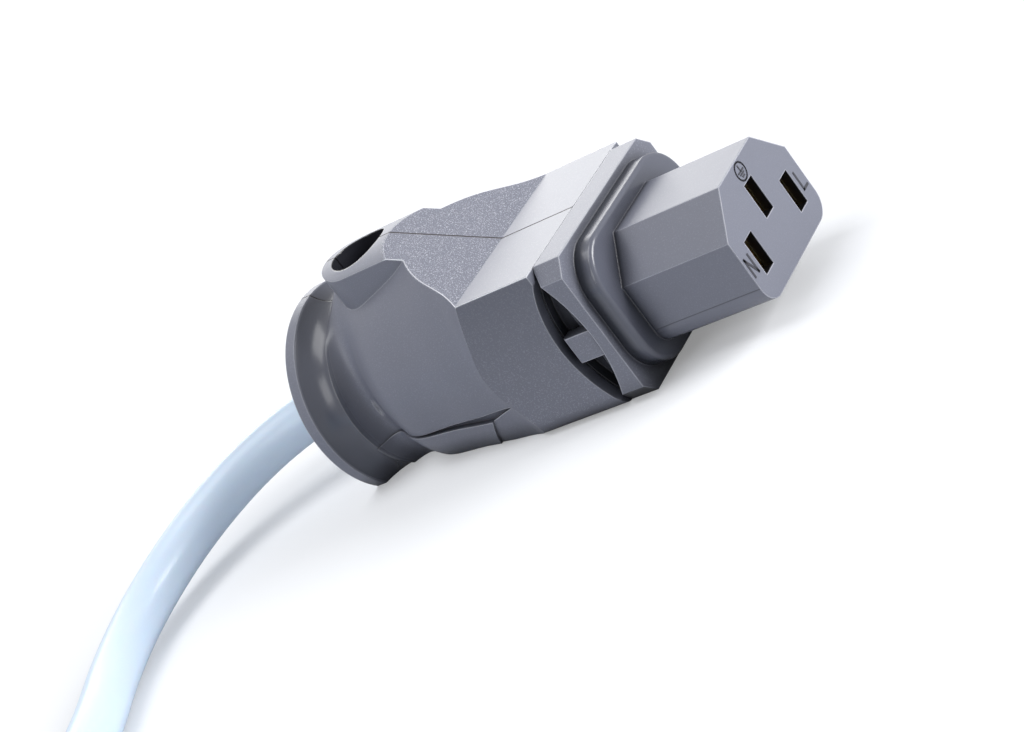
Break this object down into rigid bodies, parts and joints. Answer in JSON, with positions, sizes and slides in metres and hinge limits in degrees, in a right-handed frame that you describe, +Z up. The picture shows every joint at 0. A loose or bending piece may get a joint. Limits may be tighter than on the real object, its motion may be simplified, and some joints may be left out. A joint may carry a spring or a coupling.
{
  "type": "power cord",
  "caption": "Pale round three-core power cord with a grey two-shell rewireable connector at one end and the matching plug at the other, its spare length in a tied coil.",
  "frame": {"origin": "under the middle of the connector's bounding box, on the surface it rests on", "axes": "+X out of the connector's mating face, +Y to its left, +Z up"},
  "size_m": [0.1268, 0.2152, 0.0452],
  "materials": {
    "housing": "satin moulded",
    "carrier": "satin moulded",
    "clamp": "satin",
    "cord_jacket": "smooth",
    "line_insulation": "satin",
    "neutral_insulation": "satin",
    "earth_insulation": "satin",
    "contact_brass": "bright",
    "pin_metal": "bright plated",
    "screw_steel": "plated",
    "strap": "matt"
  },
  "bodies": {
    "root": {"coil_strap": "strap", "connector_contact_carrier": "carrier", "connector_cord_clamp": "clamp", "connector_earth_contact": "contact_brass", "connector_earth_core": "earth_insulation", "connector_earth_terminal_screw": "screw_steel", "connector_housing_screw": "screw_steel", "connector_jacket_end": "cord_jacket", "connector_left_clamp_screw": "screw_steel", "connector_left_shell": "housing", "connector_line_contact": "contact_brass", "connector_line_core": "line_insulation", "connector_line_terminal_screw": "screw_steel", "connector_neutral_contact": "contact_brass", "connector_neutral_core": "neutral_insulation", "connector_neutral_terminal_screw": "screw_steel", "connector_right_clamp_screw": "screw_steel", "connector_right_shell": "housing", "cord": "cord_jacket", "cord_coil": "cord_jacket", "cord_tail": "cord_jacket", "plug_cord_clamp": "clamp", "plug_earth_core": "earth_insulation", "plug_earth_pin": "pin_metal", "plug_earth_terminal_screw": "screw_steel", "plug_housing_screw": "screw_steel", "plug_jacket_end": "cord_jacket", "plug_left_clamp_screw": "screw_steel", "plug_left_shell": "housing", "plug_line_core": "line_insulation", "plug_line_pin": "pin_metal", "plug_line_terminal_screw": "screw_steel", "plug_neutral_core": "neutral_insulation", "plug_neutral_pin": "pin_metal", "plug_neutral_terminal_screw": "screw_steel", "plug_pin_carrier": "carrier", "plug_right_clamp_screw": "screw_steel", "plug_right_shell": "housing"}
  },
  "joints": []
}
